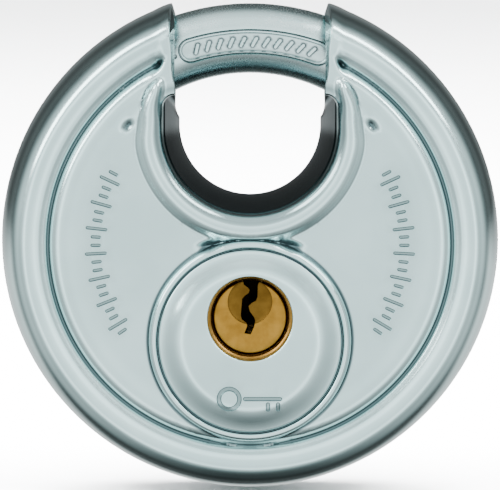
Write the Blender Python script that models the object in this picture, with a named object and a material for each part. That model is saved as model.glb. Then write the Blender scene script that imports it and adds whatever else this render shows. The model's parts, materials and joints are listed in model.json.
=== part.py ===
"""Disc padlock: two pressed steel shells, a turning shackle, a toothed carrier and a pin cylinder.

Front is -Y and up is +Z. Lengths are millimetres here, and MM turns them into metres.
The origin is where the lock hangs: the middle of the shackle's underside. The disc's axis runs along Y,
DISC_DROP below it. Profiles are (radius, height), and height is the distance from the middle plane.
Angles round the disc run clockwise from the top, as seen from the front.
"""

import math

import bmesh
import bpy

MM = 0.001
GAP = 0.3

# Shackle
RING_R = 28.4
BAR_R = 4.9
TIP_ANGLE = -32
TAIL_ANGLE = 150
FLAT_HEIGHT = 4.2
PANEL_FLOOR = 4.3
DISC_DROP = RING_R - BAR_R

# Shells
BODY_R = 35.0
WALL = 1.5
SEAM = GAP / 2
RIM_CREST_R = 31.1
RIM_HEIGHT = 9.6
FACE_HEIGHT = 9.8
GROOVE_HEIGHT = 8.7
LIP_HEIGHT = 10.8
BOSS_HEIGHT = 12.3
BOSS_Z = -13.3
THROAT_Z = 16.3
THROAT_WAIST = 9.87
THROAT_FRONT = 12.0
MOUTH_HALF = 10.5
KEYHOLE_R = 5.87
SHELL_STEPS = 56
BOSS_STEPS = 36

# Cylinder
PLUG_Z = -10.0
PLUG_R = 5.05
PLUG_FACE = -10.0
PLUG_REAR = 4.1
BORE_R = 5.25
NOSE_R = 6.5
NOSE_FACE = -10.5
PIN_DEPTHS = (-6.7, -4.35, -2.0, 0.35, 2.7)
PIN_R = 0.85
PIN_HOLE_R = 1.0
KEY_PIN_TIPS = (1.7, 1.1, 2.1, 1.4, 1.9)
SHEAR = 4.9
BIBLE_HALF = 3.2
BIBLE_DROP = 10.8

# Drive
MODULE = 1.25
PINION_TEETH = 10
RING_TEETH = 26
FLANK_EASE = 0.15
PRESSURE_ANGLE = math.radians(20)
DRIVE_FRONT = 4.5
DRIVE_REAR = 6.7
RING_TIP_R = 15.65
RING_ROOT_R = 17.6
PINION_TIP_R = 7.25
PINION_ROOT_R = 5.0
SECTOR_R = 21.3
SECTOR_ANGLES = (102.9, 201.1)
TAB_ANGLES = (112, 148)
TAB_R = 31.0
TAIL_R = 2.9
RIVET_ANGLES = (120, 140)
RIVET_RING_R = 27.6

# Chassis and what it holds
CHASSIS_R = 22.9
CHASSIS_FRONT = -7.9
CHASSIS_TOP = 7.8
NOTCH_R = 13.9
STOP_RING_R = 18.5
STOP_ANGLES = (97, 263)
PLATE_FRONT = -9.5
PLATE_REAR = -8.2
PLATE_R = 11.4
SCREW_X = 8.6
SCREW_Z = -16.5
GUIDE_R = (26.0, 31.2)
GUIDE_HEIGHTS = (5.2, 6.8)

STEEL = ((0.68, 0.70, 0.71), 0.28, 1.0)
DARK_STEEL = ((0.32, 0.33, 0.35), 0.35, 1.0)
HARD_STEEL = ((0.50, 0.51, 0.54), 0.30, 1.0)
BRASS = ((0.66, 0.47, 0.20), 0.32, 1.0)
ZINC = ((0.52, 0.53, 0.55), 0.45, 1.0)
POLYMER = ((0.03, 0.03, 0.035), 0.55, 0.0)


def clear_scene():
    for old in list(bpy.data.objects):
        bpy.data.objects.remove(old, do_unlink=True)


def empty(name, z):
    """An empty on an axis along Y, z millimetres above the disc's axis."""
    axis = bpy.data.objects.new(name, None)
    axis.location = (0, 0, (z - DISC_DROP) * MM)
    bpy.context.scene.collection.objects.link(axis)
    return axis


def material(name, look):
    colour, roughness, metallic = look
    made = bpy.data.materials.new(name)
    made.use_nodes = True
    shader = made.node_tree.nodes["Principled BSDF"]
    shader.inputs["Base Color"].default_value = (*colour, 1)
    shader.inputs["Roughness"].default_value = roughness
    shader.inputs["Metallic"].default_value = metallic
    return made


def solid(name, parent, points, faces, place=(0, 0, 0), look=None):
    """A mesh object of points in millimetres. One without a look is a cutter or a blank to join."""
    mesh = bpy.data.meshes.new(name)
    mesh.from_pydata([(x * MM, y * MM, z * MM) for x, y, z in points], [], faces)
    edit = bmesh.new()
    edit.from_mesh(mesh)
    bmesh.ops.recalc_face_normals(edit, faces=edit.faces)
    edit.to_mesh(mesh)
    edit.free()
    mesh.shade_smooth()
    mesh.set_sharp_from_angle(angle=math.radians(30))
    made = bpy.data.objects.new(name, mesh)
    made.location = [length * MM for length in place]
    made.parent = parent
    bpy.context.scene.collection.objects.link(made)
    if look:
        mesh.materials.append(material(name, look))
    else:
        made.hide_render = True
        made.display_type = "WIRE"
    return made


def combine(base, operation, *others):
    for other in others:
        step = base.modifiers.new(f"{operation.lower()} {other.name}", "BOOLEAN")
        step.operation = operation
        step.solver = "EXACT"
        step.object = other
        other.hide_render = True
        other.display_type = "WIRE"
    return base


def cut(base, *others):
    return combine(base, "DIFFERENCE", *others)


def join(base, *others):
    return combine(base, "UNION", *others)


def skin(rings, closed=False, caps=True):
    """Points and faces of equal rings of points, bridged in order. A closed skin meets its own start."""
    count = len(rings[0])
    points = [point for ring in rings for point in ring]
    faces = []
    for row in range(len(rings) - (not closed)):
        here, there = row * count, (row + 1) % len(rings) * count
        for i in range(count):
            j = (i + 1) % count
            faces.append((here + i, here + j, there + j, there + i))
    if caps and not closed:
        faces += [tuple(range(count)), tuple(range(len(points) - count, len(points)))]
    return points, faces


def turned(name, parent, profile, segments, place=(0, 0, 0), look=None, along="Y"):
    """A profile of (radius, distance along the axis), turned about Y or Z. Its ends lie near the axis or are flat."""
    rings = []
    for radius, depth in profile:
        ring = []
        for step in range(segments):
            angle = math.tau * step / segments
            across, up = radius * math.sin(angle), radius * math.cos(angle)
            ring.append((across, depth, up) if along == "Y" else (across, up, depth))
        rings.append(ring)
    return solid(name, parent, *skin(rings), place, look)


def turned_ring(name, parent, profile, segments, look=None):
    """A closed profile of (radius, depth) turned about Y, with a hole through its middle."""
    rings = []
    for step in range(segments):
        angle = math.tau * step / segments
        rings.append([(r * math.sin(angle), depth, r * math.cos(angle)) for r, depth in profile])
    return solid(name, parent, *skin(rings, closed=True), look=look)


def prism(name, parent, outline, front, rear, place=(0, 0, 0), look=None):
    """An outline of (x, z) extruded along Y."""
    rings = [[(x, depth, z) for x, z in outline] for depth in (front, rear)]
    return solid(name, parent, *skin(rings), place, look)


def block(name, parent, low, high, place=(0, 0, 0), look=None):
    outline = [(low[0], low[2]), (high[0], low[2]), (high[0], high[2]), (low[0], high[2])]
    return prism(name, parent, outline, low[1], high[1], place, look)


def on_ring(radius, degrees):
    angle = math.radians(degrees)
    return radius * math.sin(angle), radius * math.cos(angle)


def sector(inner, outer, first, last, step=6):
    """The outline of a piece of a ring between two angles."""
    count = max(1, round((last - first) / step))
    angles = [first + (last - first) * i / count for i in range(count + 1)]
    return [on_ring(outer, a) for a in angles] + [on_ring(inner, a) for a in reversed(angles)]


def u_outline(half, top, arc_steps=16):
    """A U round the throat's centre: a half circle below it, and straight legs up to a height above it."""
    arc = [on_ring(half, 90 + 180 * i / arc_steps) for i in range(arc_steps + 1)]
    return [(half, top)] + arc + [(-half, top)]


def u_solid(name, parent, side, sections):
    """A solid through U outlines, each (height, half width, leg height above the throat's centre)."""
    rings = []
    for height, half, top in sections:
        rings.append([(x, side * height, z) for x, z in u_outline(half, top)])
    return solid(name, parent, *skin(rings), place=(0, 0, THROAT_Z))


def gear_outline(teeth, tip_r, root_r, ease, flank_points=4):
    """An involute gear with its flanks moved in by ease, and a tooth pointing straight down."""
    pitch_r = MODULE * teeth / 2
    base_r = pitch_r * math.cos(PRESSURE_ANGLE)
    involute_at_pitch = math.tan(PRESSURE_ANGLE) - PRESSURE_ANGLE
    half_at_pitch = (math.pi * MODULE / 4 - ease) / pitch_r
    flank_start = max(base_r, root_r)
    flank = []
    for i in range(flank_points):
        radius = flank_start + (tip_r - flank_start) * i / (flank_points - 1)
        pressure = math.acos(min(1, base_r / radius))
        flank.append((radius, half_at_pitch + involute_at_pitch - math.tan(pressure) + pressure))
    if root_r < base_r:
        flank.insert(0, (root_r, flank[0][1]))
    outline = []
    for tooth in range(teeth):
        middle = 180 + 360 * tooth / teeth
        outline += [on_ring(r, middle - math.degrees(half)) for r, half in flank]
        outline += [on_ring(r, middle + math.degrees(half)) for r, half in reversed(flank)]
    return outline


def double_d(radius, flat, steps=5):
    """A circle with a flat on its left and its right."""
    reach = math.degrees(math.asin(flat / radius))
    upper = [on_ring(radius, -reach + 2 * reach * i / steps) for i in range(steps + 1)]
    return upper + [(-x, -z) for x, z in upper]


def rim_profile(crest_r, reach, height, angles):
    """The rim's section: a quarter ellipse from the middle plane up to its crest."""
    return [(crest_r + reach * math.cos(math.radians(a)), height * math.sin(math.radians(a))) for a in angles]


def sided(profile, side):
    return [(radius, side * height) for radius, height in profile]


def make_shell(name, axis, side):
    """One pressed half of the body: side is -1 at the front and 1 at the rear."""
    outer = [(BODY_R, SEAM)]
    outer += rim_profile(RIM_CREST_R, BODY_R - RIM_CREST_R, RIM_HEIGHT, (24, 45, 60, 75, 90))
    outer += [(29.2, 9.2), (28.6, GROOVE_HEIGHT), (28.1, GROOVE_HEIGHT), (27.7, 9.5), (26.6, FACE_HEIGHT)]
    shell = turned(name, axis, sided(outer, side), SHELL_STEPS, look=STEEL)
    boss = [(14.1, 8.8), (14.1, 9.9), (13.7, 10.7), (12.95, 10.6), (9.7, 12.0), (9.1, BOSS_HEIGHT)]
    boss_blank = turned(f"{name}_boss_blank", axis, sided(boss, side), BOSS_STEPS, place=(0, 0, BOSS_Z))
    lip = [(8.8, 16.0, 10.5), (9.9, 15.95, 7.6), (10.6, 15.0, 4.6), (LIP_HEIGHT, 14.2, 2.5)]
    lip_blank = u_solid(f"{name}_lip_blank", axis, side, lip)
    join(shell, boss_blank, lip_blank)

    hollow = [(BODY_R - WALL, -1.0)]
    hollow += rim_profile(RIM_CREST_R, BODY_R - WALL - RIM_CREST_R, RIM_HEIGHT - WALL, (34, 60, 90))
    hollow += [(29.0, 7.2), (27.8, 7.2), (26.8, FACE_HEIGHT - WALL)]
    cavity = turned(f"{name}_cavity", axis, sided(hollow, side), SHELL_STEPS)
    boss_hollow = [(12.4, 7.5), (12.4, 9.3), (9.2, BOSS_HEIGHT - WALL)]
    boss_cavity = turned(f"{name}_boss_cavity", axis, sided(boss_hollow, side), BOSS_STEPS, place=(0, 0, BOSS_Z))
    wall = [(-2.0, THROAT_WAIST + WALL, 3.7), (0, THROAT_WAIST + WALL, 3.7)]
    wall += [(8.4, THROAT_FRONT + WALL, 6.4), (13.0, THROAT_FRONT + WALL, 6.4)]
    throat_wall = u_solid(f"{name}_throat_wall", axis, side, wall)
    cut(join(cavity, boss_cavity), throat_wall)

    flare = [(-2.0, THROAT_WAIST, 2.3), (0, THROAT_WAIST, 2.3), (8.4, THROAT_FRONT, 4.9)]
    flare += [(9.7, 12.4, 5.3), (10.5, 13.2, 5.7), (LIP_HEIGHT + 0.05, 14.1, 6.1), (14.0, 14.1, 6.1)]
    throat = u_solid(f"{name}_throat", axis, side, flare)
    mouth = block(f"{name}_mouth", axis, (-MOUTH_HALF, -15, 18.0), (MOUTH_HALF, 15, 40))
    cut(shell, cavity, throat, mouth)
    return shell


def make_front_shell(axis):
    shell = make_shell("front_shell", axis, -1)
    keyhole = turned("keyhole", axis, [(KEYHOLE_R, -14), (KEYHOLE_R, -9)], 40, place=(0, 0, PLUG_Z))
    cut(shell, keyhole)


def make_shackle(axis):
    """The bar bent round the disc's axis, chamfered at both ends, flat behind its tail where the carrier sits."""
    ends = 1.6
    steps = 34
    stations = [(TIP_ANGLE, BAR_R - 1.2)]
    for i in range(steps + 1):
        stations.append((TIP_ANGLE + ends + (TAIL_ANGLE - TIP_ANGLE - 2 * ends) * i / steps, BAR_R))
    stations.append((TAIL_ANGLE, BAR_R - 1.2))
    rings = []
    for degrees, bar_r in stations:
        ring = []
        for side in range(16):
            turn = math.tau * side / 16
            x, z = on_ring(RING_R + bar_r * math.cos(turn), degrees)
            ring.append((x, bar_r * math.sin(turn), z))
        rings.append(ring)
    shackle = solid("shackle", axis, *skin(rings), look=HARD_STEEL)
    seat = sector(RING_R - 6, RING_R + 6, TAB_ANGLES[0] - 2, TAIL_ANGLE + 3)
    flat = prism("carrier_flat", axis, seat, FLAT_HEIGHT, 8)
    panel_middle, panel_half = 28.1, 1.7
    left, right = -19.5, 23
    panel = sector(panel_middle - panel_half, panel_middle + panel_half, left, right)
    recess = prism("shackle_panel_recess", axis, panel, -7, -PANEL_FLOOR)
    cut(shackle, flat, recess)
    for number, degrees in enumerate(RIVET_ANGLES, 1):
        x, z = on_ring(RIVET_RING_R, degrees)
        hole = turned(f"rivet_hole_{number}", axis, [(1.6, 0.2), (1.6, 8)], 16, place=(x, 0, z))
        cut(shackle, hole)


def make_carrier(axis):
    """The toothed plate that the plug drives, riveted to the flat behind the shackle's tail."""
    plate = sector(RING_TIP_R, SECTOR_R, *SECTOR_ANGLES, step=5)
    carrier = prism("shackle_carrier", axis, plate, DRIVE_FRONT, DRIVE_REAR, look=DARK_STEEL)
    arm = sector(SECTOR_R - 1.5, TAB_R, *TAB_ANGLES)
    tab = prism("carrier_tab", axis, arm, DRIVE_FRONT, DRIVE_REAR)
    teeth = gear_outline(RING_TEETH, RING_ROOT_R, RING_TIP_R - 0.3, -FLANK_EASE)
    spaces = prism("carrier_tooth_spaces", axis, teeth, DRIVE_FRONT - 1, DRIVE_REAR + 1)
    cut(join(carrier, tab), spaces)
    for number, degrees in enumerate(RIVET_ANGLES, 1):
        x, z = on_ring(RIVET_RING_R, degrees)
        sink = [(1.6, 3.5), (1.6, 5.6), (2.6, 6.6), (2.6, 7.5)]
        cut(carrier, turned(f"carrier_rivet_sink_{number}", axis, sink, 16, place=(x, 0, z)))
        body = [(1.3, 0.5), (1.3, 5.7), (2.2, 6.6)]
        turned(f"carrier_rivet_{number}", axis, body, 16, place=(x, 0, z), look=DARK_STEEL)


def keyway_outline():
    """The key's slot, open at the top of the plug, with a ward from the left and one from the right."""
    left = [(-1.3, 5.6), (-0.8, 4.3), (-0.1, 3.7), (-0.5, 3.1), (-1.15, 2.6), (-1.35, 0.1), (-1.2, -0.4)]
    left += [(-0.45, -0.85), (-0.4, -1.3), (-0.8, -2.5)]
    right = [(0.1, -2.6), (0.9, -0.8), (0.7, -0.1), (0.0, 0.7), (-0.15, 1.5), (1.1, 2.3), (1.1, 4.4), (1.6, 5.6)]
    return left + right


def make_plug(axis):
    barrel = [(4.75, PLUG_FACE), (PLUG_R, PLUG_FACE + 0.3), (PLUG_R, PLUG_REAR)]
    plug = turned("plug", axis, barrel, 40, look=BRASS)
    tail = prism("plug_tail", axis, double_d(TAIL_R, 2.2), PLUG_REAR - 0.6, 8.6)
    groove = [(2.0, 6.95), (4.0, 6.95), (4.0, 7.95), (2.0, 7.95)]
    clip_groove = turned_ring("clip_groove", axis, groove, 20)
    keyway = prism("keyway", axis, keyway_outline(), PLUG_FACE - 1, 3.1)
    sink = [(3.2, PLUG_FACE - 0.5), (3.1, PLUG_FACE), (1.6, PLUG_FACE + 0.7)]
    funnel = turned("keyway_funnel", axis, sink, 28, place=(0, 0, 2.1))
    cut(join(plug, tail), clip_groove, keyway, funnel)
    for number, depth in enumerate(PIN_DEPTHS, 1):
        bore = [(PIN_HOLE_R, -0.8), (PIN_HOLE_R, -7)]
        cut(plug, turned(f"plug_pin_hole_{number}", axis, bore, 12, place=(0, depth, 0), along="Z"))


def make_pins(case_axis, plug_axis):
    """Key pins in the plug, and driver pins and springs in the cylinder's body below it."""
    for number, (depth, tip) in enumerate(zip(PIN_DEPTHS, KEY_PIN_TIPS), 1):
        key_pin = [(0.3, -tip), (PIN_R, -tip - 0.5), (PIN_R, -SHEAR + 0.2), (0.5, -SHEAR)]
        turned(f"key_pin_{number}", plug_axis, key_pin, 12, (0, depth, 0), BRASS, along="Z")
        driver = [(0.5, -5.35), (PIN_R, -5.55), (PIN_R, -7.2), (0.5, -7.45)]
        turned(f"driver_pin_{number}", case_axis, driver, 12, (0, depth, PLUG_Z), HARD_STEEL, along="Z")
        make_spring(f"pin_spring_{number}", case_axis, (0, depth, PLUG_Z))


def make_spring(name, axis, place):
    """An open coil of three and a half turns between a driver pin and the chamber cover."""
    turns, steps, sides = 3.5, 8, 4
    coil_r, wire_r, first, last = 0.65, 0.13, -7.85, -9.8
    rings = []
    total = round(turns * steps)
    for i in range(total + 1):
        angle = math.tau * i / steps
        height = first + (last - first) * i / total
        ring = []
        for side in range(sides):
            turn = math.tau * side / sides
            radius = coil_r + wire_r * math.cos(turn)
            ring.append((radius * math.sin(angle), radius * math.cos(angle), height + wire_r * math.sin(turn)))
        rings.append(ring)
    solid(name, axis, *skin(rings), place, HARD_STEEL)


def make_cylinder_body(axis):
    """The fixed brass body: a round nose and barrel round the plug, and the pin chambers below."""
    place = (0, 0, PLUG_Z)
    body = turned("cylinder_body", axis, [(NOSE_R, NOSE_FACE), (NOSE_R, PLUG_REAR)], 40, place, BRASS)
    low, high = (-BIBLE_HALF, CHASSIS_FRONT, -BIBLE_DROP), (BIBLE_HALF, PLUG_REAR, -3)
    bible = block("cylinder_bible", axis, low, high, place)
    bore = turned("cylinder_bore", axis, [(BORE_R, -12), (BORE_R, 6)], 40, place)
    slot = block("chamber_cover_slot", axis, (-1.7, -7.5, -12), (1.7, 6, -9.9), place)
    cut(join(body, bible), bore, slot)
    for number, depth in enumerate(PIN_DEPTHS, 1):
        chamber = [(PIN_HOLE_R, -4.5), (PIN_HOLE_R, -10.5)]
        spot = (0, depth, PLUG_Z)
        cut(body, turned(f"pin_chamber_{number}", axis, chamber, 12, spot, along="Z"))
    cover_low, cover_high = (-1.4, -7.2, -BIBLE_DROP), (1.4, 3.8, -10.2)
    block("chamber_cover", axis, cover_low, cover_high, place, BRASS)


def make_drive(axis):
    """The pinion on the plug's tail, and the open clip that keeps it there."""
    teeth = gear_outline(PINION_TEETH, PINION_TIP_R, PINION_ROOT_R, FLANK_EASE)
    pinion = prism("drive_pinion", axis, teeth, DRIVE_FRONT, DRIVE_REAR, look=DARK_STEEL)
    seat = prism("pinion_seat", axis, double_d(TAIL_R + GAP, 2.2 + GAP), DRIVE_FRONT - 1, DRIVE_REAR + 1)
    cut(pinion, seat)
    prism("plug_clip", axis, sector(2.3, 4.2, 35, 325, step=18), 7.2, 7.7, look=HARD_STEEL)


def chassis_outline():
    """A disc with its top cut level, and a round notch for the throat."""
    level = CHASSIS_TOP
    edge = math.degrees(math.acos(level / CHASSIS_R))
    outer = [on_ring(CHASSIS_R, edge + (360 - 2 * edge) * i / 40) for i in range(41)]
    reach = math.degrees(math.acos((level - THROAT_Z) / NOTCH_R))
    notch = []
    for i in range(17):
        x, z = on_ring(NOTCH_R, 360 - reach - (360 - 2 * reach) * i / 16)
        notch.append((x, z + THROAT_Z))
    return outer + notch


def make_chassis(axis):
    """The cast frame that fills the shells, holds the cylinder and guides the shackle's inner side."""
    chassis = prism("chassis", axis, chassis_outline(), CHASSIS_FRONT, PLUG_REAR, look=ZINC)
    place = (0, 0, PLUG_Z)
    round_pocket = turned("cylinder_pocket", axis, [(NOSE_R + GAP, -12), (NOSE_R + GAP, 8)], 40, place)
    low = (-BIBLE_HALF - GAP, -12, -BIBLE_DROP - GAP)
    bible_pocket = block("bible_pocket", axis, low, (BIBLE_HALF + GAP, 8, -3), place)
    cut(chassis, join(round_pocket, bible_pocket))
    for name, side in (("left", -1), ("right", 1)):
        hole = turned(f"screw_hole_{name}", axis, [(1.5, -9), (1.5, -2.6)], 14, (side * SCREW_X, 0, SCREW_Z))
        cut(chassis, hole)
    for name, degrees in zip(("closed", "open"), STOP_ANGLES):
        x, z = on_ring(STOP_RING_R, degrees)
        cut(chassis, turned(f"stop_hole_{name}", axis, [(1.4, -2), (1.4, 6)], 14, (x, 0, z)))
        post = [(1.1, -1.6), (1.1, 4.4), (1.6, 4.4), (1.6, 7.6), (1.3, 7.9)]
        turned(f"stop_post_{name}", axis, post, 16, (x, 0, z), HARD_STEEL)


def make_drill_plate(axis):
    """The hardened plate in front of the pin chambers, and its two countersunk screws."""
    disc = [(PLATE_R, PLATE_FRONT), (PLATE_R, PLATE_REAR)]
    plate = turned("drill_plate", axis, disc, 40, (0, 0, BOSS_Z), DARK_STEEL)
    nose_hole = turned("nose_hole", axis, [(NOSE_R + GAP, -12), (NOSE_R + GAP, -6)], 40, (0, 0, PLUG_Z))
    cut(plate, nose_hole)
    for name, side in (("left", -1), ("right", 1)):
        place = (side * SCREW_X, 0, SCREW_Z)
        sink = [(2.55, -11), (2.55, PLATE_FRONT), (1.5, -8.75), (1.5, -7)]
        cut(plate, turned(f"screw_sink_{name}", axis, sink, 16, place))
        body = [(2.2, PLATE_FRONT), (1.2, -8.8), (1.2, -3)]
        screw = turned(f"plate_screw_{name}", axis, body, 16, place, HARD_STEEL)
        cut(screw, turned(f"screw_socket_{name}", axis, [(0.8, -11), (0.8, -9.1)], 6, place))


def make_guides(axis):
    """Wear strips before and behind the shackle. The rear ones leave room for the carrier's tab."""
    near, far = GUIDE_HEIGHTS
    for name, front, rear, first, last in (
        ("front_guide", -far, -near, 25, 335),
        ("rear_guide_right", near, far, 25, 104),
        ("rear_guide_left", near, far, 212, 335),
    ):
        prism(name, axis, sector(*GUIDE_R, first, last), front, rear, look=POLYMER)


def main():
    clear_scene()
    disc_axis = empty("disc_axis", 0)
    shackle_axis = empty("shackle_axis", 0)
    plug_axis = empty("plug_axis", PLUG_Z)
    make_front_shell(disc_axis)
    make_shell("rear_shell", disc_axis, 1)
    make_shackle(shackle_axis)
    make_carrier(shackle_axis)
    make_plug(plug_axis)
    make_drive(plug_axis)
    make_pins(disc_axis, plug_axis)
    make_cylinder_body(disc_axis)
    make_chassis(disc_axis)
    make_drill_plate(disc_axis)
    make_guides(disc_axis)


main()
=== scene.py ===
"""Looks of the disc padlock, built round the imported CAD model.

Lengths in this file are millimetres from the disc's axis: x is to the right, z is up, and height is the
distance from the middle plane, towards the front (side -1) or the rear (side 1). MM turns them into metres.
"""

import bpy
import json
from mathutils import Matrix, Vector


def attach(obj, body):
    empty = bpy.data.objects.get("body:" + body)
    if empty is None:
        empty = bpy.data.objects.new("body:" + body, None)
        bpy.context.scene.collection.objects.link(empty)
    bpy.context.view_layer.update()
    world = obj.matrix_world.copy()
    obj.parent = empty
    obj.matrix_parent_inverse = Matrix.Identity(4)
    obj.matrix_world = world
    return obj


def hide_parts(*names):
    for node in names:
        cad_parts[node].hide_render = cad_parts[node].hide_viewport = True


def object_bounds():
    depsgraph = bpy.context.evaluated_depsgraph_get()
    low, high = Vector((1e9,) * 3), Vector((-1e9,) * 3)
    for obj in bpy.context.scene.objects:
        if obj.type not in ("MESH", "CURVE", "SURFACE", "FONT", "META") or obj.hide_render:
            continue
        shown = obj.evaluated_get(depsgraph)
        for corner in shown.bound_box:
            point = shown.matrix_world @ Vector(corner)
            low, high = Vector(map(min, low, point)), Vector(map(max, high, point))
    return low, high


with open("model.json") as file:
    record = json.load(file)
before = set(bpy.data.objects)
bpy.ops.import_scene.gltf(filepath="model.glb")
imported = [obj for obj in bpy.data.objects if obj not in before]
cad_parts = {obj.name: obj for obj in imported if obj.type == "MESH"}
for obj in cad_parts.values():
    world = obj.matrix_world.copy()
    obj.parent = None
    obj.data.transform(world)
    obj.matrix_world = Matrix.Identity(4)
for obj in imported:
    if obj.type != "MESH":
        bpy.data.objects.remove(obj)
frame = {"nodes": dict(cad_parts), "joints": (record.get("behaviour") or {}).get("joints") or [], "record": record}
cad_bounds = [list(corner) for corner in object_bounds()]

import json
import math

import bmesh
import bpy
import numpy as np
from mathutils import Vector
from mathutils.geometry import delaunay_2d_cdt
from mathutils.kdtree import KDTree

MM = 0.001
JOINTS = {joint["name"]: joint for joint in frame["joints"]}
CENTRE = Vector(JOINTS["shackle_turn"]["pos_m"])
PLUG_Z = (JOINTS["plug_turn"]["pos_m"][2] - CENTRE.z) / MM

# Shells
BODY_R = 35.0
RIM_CREST_R = 31.1
RIM_HEIGHT = 9.6
FACE_HEIGHT = 9.62
WALL = 1.5
THROAT_Z = 16.3
THROAT_HALF = 12.0
WAIST_HALF = 9.87
CORNER_Z = 19.4
MOUTH_HALF = 10.5
BOSS_Z = -13.3
BOSS_REACH = 15.2
KEYHOLE_R = 5.87
GROOVE_R = 28.4
LIP_EDGE = 8.7

# The closed line between the shells: half its gap, and how deep its fine groove is
SEAM = 0.005
SEAM_GROOVE = 0.12

# Where the face's mesh joins the rows of the rim and of the lip, outside and inside
RIM_JOIN_ANGLE = 62
LIP_JOIN = 2.2
OUTER_JOIN_R = RIM_CREST_R + (BODY_R - RIM_CREST_R) * math.cos(math.radians(RIM_JOIN_ANGLE))
INNER_JOIN_R = RIM_CREST_R + (BODY_R - WALL - RIM_CREST_R) * math.cos(math.radians(RIM_JOIN_ANGLE))
OUTER_HALF = THROAT_HALF + LIP_JOIN
INNER_HALF = OUTER_HALF + WALL

# Points along the throat, the rim, a horn's cut and the keyhole's edge
EDGE_STEP = 0.16
THROAT_COUNT = 181
RIM_COUNT = 381
CUT_COUNT = 44
HOLE_COUNT = 168
OUTLINE_COUNT = RIM_COUNT + THROAT_COUNT + 2 * CUT_COUNT

# Pressed marks: two scales of bars, by the middle's angle, and a key under the keyhole
SCALE_MIDDLES = (267, 93)
SCALE_STEP = 3.1
LONG_BAR = (20.2, 22.8)
SHORT_BAR = (21.0, 22.0)
KEY_Z = BOSS_Z - 7.9

# Shackle
RING_R = 28.4
BAR_R = 4.9
TIP_ANGLE = -32
TAIL_ANGLE = 150
FLAT_HEIGHT = 4.2
FLAT_ANGLES = (110, 152)
SHACKLE_FRONT = math.pi / 2
PANEL_ANGLES = (-17.0, 19.6)
PANEL_OFFSET = -0.3
PANEL_HALF = 1.85
PANEL_DEPTH = 0.42
PANEL_BARS = 11
NOTCH_ANGLE = -22.3

# Cylinder, with the depths of its five pin chambers
PLUG_R = 5.05
PLUG_FACE = -10.0
BORE_R = 5.25
PIN_DEPTHS = (-6.7, -4.35, -2.0, 0.35, 2.7)
# How far behind the plug's face its painted shade grows to full darkness
RECESS_SHADE_DEPTH = 2.4


def on_ring(radius, degrees):
    angle = math.radians(degrees)
    return radius * math.sin(angle), radius * math.cos(angle)


def row_point(x, z, height, side):
    """A point in the row frame, in metres."""
    return x * MM, side * height * MM, z * MM + CENTRE.z


def smooth_step(value, low, high):
    t = np.clip((value - low) / (high - low), 0, 1)
    return t * t * (3 - 2 * t)


def profile(points, rounding=0.08):
    """A section through the given (position, height) points, with its corners rounded."""
    places, heights = zip(*points)
    fine = np.arange(places[0] - 1, places[-1] + 1, 0.02)
    line = np.interp(fine, places, heights)
    reach = np.arange(-3 * rounding, 3 * rounding + 0.01, 0.02)
    weight = np.exp(-0.5 * (reach / rounding) ** 2)
    padded = np.pad(line, len(reach) // 2, mode="edge")
    line = np.convolve(padded, weight / weight.sum(), mode="valid")[: len(fine)]
    return lambda value: np.interp(value, fine, line)


GROOVE = profile(
    [(0, FACE_HEIGHT), (23.9, FACE_HEIGHT), (24.6, 9.68), (25.8, 9.84), (26.7, 9.8), (27.35, 9.55),
     (27.8, 9.1), (28.05, 8.5), (28.3, 8.42), (28.6, 8.8), (29.2, 9.06), (29.4, 9.2), (30.2, 9.48),
     (RIM_CREST_R, RIM_HEIGHT)]
)
LIP = profile(
    [(-0.6, 7.4), (0, 8.7), (0.2, 9.45), (0.55, 10.0), (1.1, 10.45), (1.9, 10.78), (2.6, 10.72), (3.3, 10.4),
     (3.85, 9.85), (4.4, 9.1), (6, 6)]
)
BOSS = profile(
    [(0, 12.3), (8.9, 12.3), (9.6, 12.2), (10.5, 11.85), (11.5, 11.3), (12.3, 10.95), (12.72, 10.82),
     (12.86, 10.5), (12.98, 10.5), (13.12, 10.95), (13.5, 11.0), (13.85, 10.8), (14.1, 10.2), (14.3, 9.2),
     (15.5, 6)],
    rounding=0.06,
)


# Painted shade, from 0 to 1: in creases, in sunk dents and on the throat's wall
CREASE_DEPTH = 0.21
CREASE_START = 0.08
CREASE_MOST = 0.9
# Painted shade added at the middle of each sunk dent
DENT_SHADE_TONE = 0.75
# Painted shade over the throat's whole wall
WALL_SHADE = 0.95

# Where the pressing drew the sheet unevenly, on both sides: (place, size, heading, rise)
DENTS = (
    ((12.5, 25.3), (1.15, 0.42), 128, -0.55),
    ((13.15, 22.4), (0.9, 0.9), 0, 0.3),
    ((15.3, 18.4), (1.5, 0.9), 115, 0.22),
    ((17.0, 16.7), (0.95, 0.5), 130, -0.45),
    ((5.7, -0.05), (1.5, 0.6), -12, -0.75),
)


def throat_distance(x, z):
    """Distance outwards from the throat's front edge: a U, with a round corner under each horn."""
    x = np.abs(x)
    below = np.hypot(x, z - THROAT_Z) - THROAT_HALF
    above = np.hypot(x - MOUTH_HALF, z - CORNER_Z) - (THROAT_HALF - MOUTH_HALF)
    return np.where(z < THROAT_Z, below, np.where(z < CORNER_Z, x - THROAT_HALF, above))


def soft_max(a, b, blend=0.12):
    overlap = np.clip(blend - np.abs(a - b), 0, None) / blend
    return np.maximum(a, b) + overlap * overlap * blend / 4


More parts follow.
